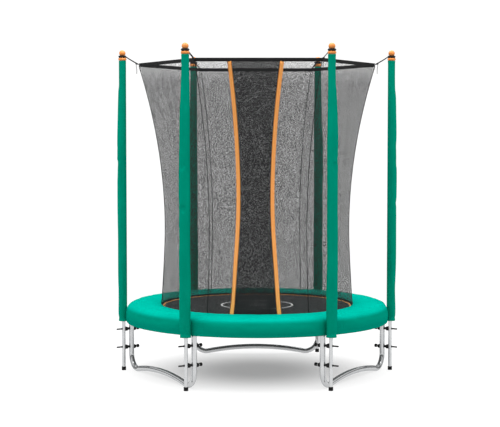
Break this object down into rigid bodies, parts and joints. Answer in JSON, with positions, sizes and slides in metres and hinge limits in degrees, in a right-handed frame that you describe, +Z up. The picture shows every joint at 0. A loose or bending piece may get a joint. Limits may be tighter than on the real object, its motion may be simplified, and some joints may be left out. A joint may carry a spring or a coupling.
{
  "type": "backyard trampoline",
  "caption": "Small round trampoline with an hourglass safety net on sleeved poles, an overlapping entrance, a spring cover and bent tube legs.",
  "frame": {"origin": "on the ground under the centre of the jumping mat", "axes": "+Z up, the net entrance faces -Y, +X to the right as one faces the entrance"},
  "size_m": [1.9968, 1.852, 2.269],
  "materials": {
    "galvanised_tube": "bright galvanised, polished",
    "zinc_hardware": "zinc plated",
    "black_plastic": "moulded, satin",
    "black_rubber": "moulded, matt",
    "orange_plastic": "moulded, semi gloss",
    "green_cover": "PVC coated fabric, satin sheen",
    "green_sleeve": "coated woven fabric",
    "foam": "closed-cell foam",
    "mat_weave": "woven polypropylene",
    "black_webbing": "woven webbing",
    "orange_tape": "stitched binding tape",
    "net_mesh": "knitted mesh, see-through"
  },
  "bodies": {
    "frame": {"clamp_back_saddles": "black_plastic", "clamp_bolts": "zinc_hardware", "clamp_knobs": "black_plastic", "clamp_nuts": "zinc_hardware", "clamp_spacers": "black_plastic", "clamp_thread_covers": "black_plastic", "entrance_seam_tapes": "orange_tape", "foot_plugs": "black_rubber", "frame_rail_front_left": "galvanised_tube", "frame_rail_front_right": "galvanised_tube", "frame_rail_left": "galvanised_tube", "frame_rail_rear_left": "galvanised_tube", "frame_rail_rear_right": "galvanised_tube", "frame_rail_right": "galvanised_tube", "leg_extensions": "galvanised_tube", "leg_left": "galvanised_tube", "leg_rear": "galvanised_tube", "leg_right": "galvanised_tube", "neck_bands": "black_rubber", "net_cords": "black_webbing", "net_panel_front_left": "net_mesh", "net_panel_front_right": "net_mesh", "net_panel_left_front": "net_mesh", "net_panel_left_rear": "net_mesh", "net_panel_rear": "net_mesh", "net_panel_right_front": "net_mesh", "net_panel_right_rear": "net_mesh", "net_top_band": "black_webbing", "pad": "green_cover", "pad_straps": "black_webbing", "pole_cap_front_left": "orange_plastic", "pole_cap_front_right": "orange_plastic", "pole_cap_left": "orange_plastic", "pole_cap_rear_left": "orange_plastic", "pole_cap_rear_right": "orange_plastic", "pole_cap_right": "orange_plastic", "pole_foam": "foam", "pole_lower_front_left": "galvanised_tube", "pole_lower_front_right": "galvanised_tube", "pole_lower_left": "galvanised_tube", "pole_lower_rear_left": "galvanised_tube", "pole_lower_rear_right": "galvanised_tube", "pole_lower_right": "galvanised_tube", "pole_sleeve_front_left": "green_sleeve", "pole_sleeve_front_right": "green_sleeve", "pole_sleeve_left": "green_sleeve", "pole_sleeve_rear_left": "green_sleeve", "pole_sleeve_rear_right": "green_sleeve", "pole_sleeve_right": "green_sleeve", "poles_upper": "galvanised_tube", "socket_screws": "zinc_hardware", "springs": "zinc_hardware"},
    "jump_mat": {"mat": "mat_weave", "mat_hem": "black_webbing", "mat_edge_line": "orange_tape", "v_rings": "zinc_hardware"},
    "outer_entrance_flap": {"outer_flap": "net_mesh", "outer_flap_tape": "orange_tape"},
    "inner_entrance_flap": {"inner_flap": "net_mesh", "inner_flap_tape": "orange_tape"}
  },
  "joints": [
    {"name": "mat_bounce", "type": "slide", "parent": "frame", "child": "jump_mat", "axis": [0, 0, 1], "range_m": [-0.15, 0], "deforming": ["springs"]},
    {"name": "outer_flap_swing", "type": "hinge", "parent": "frame", "child": "outer_entrance_flap", "pos_m": [-0.18, -0.722, 1.3], "axis": [0, 0, -1], "range_deg": [0, 75]},
    {"name": "inner_flap_swing", "type": "hinge", "parent": "frame", "child": "inner_entrance_flap", "pos_m": [0.165, -0.6, 1.3], "axis": [0, 0, -1], "range_deg": [0, 60]}
  ]
}
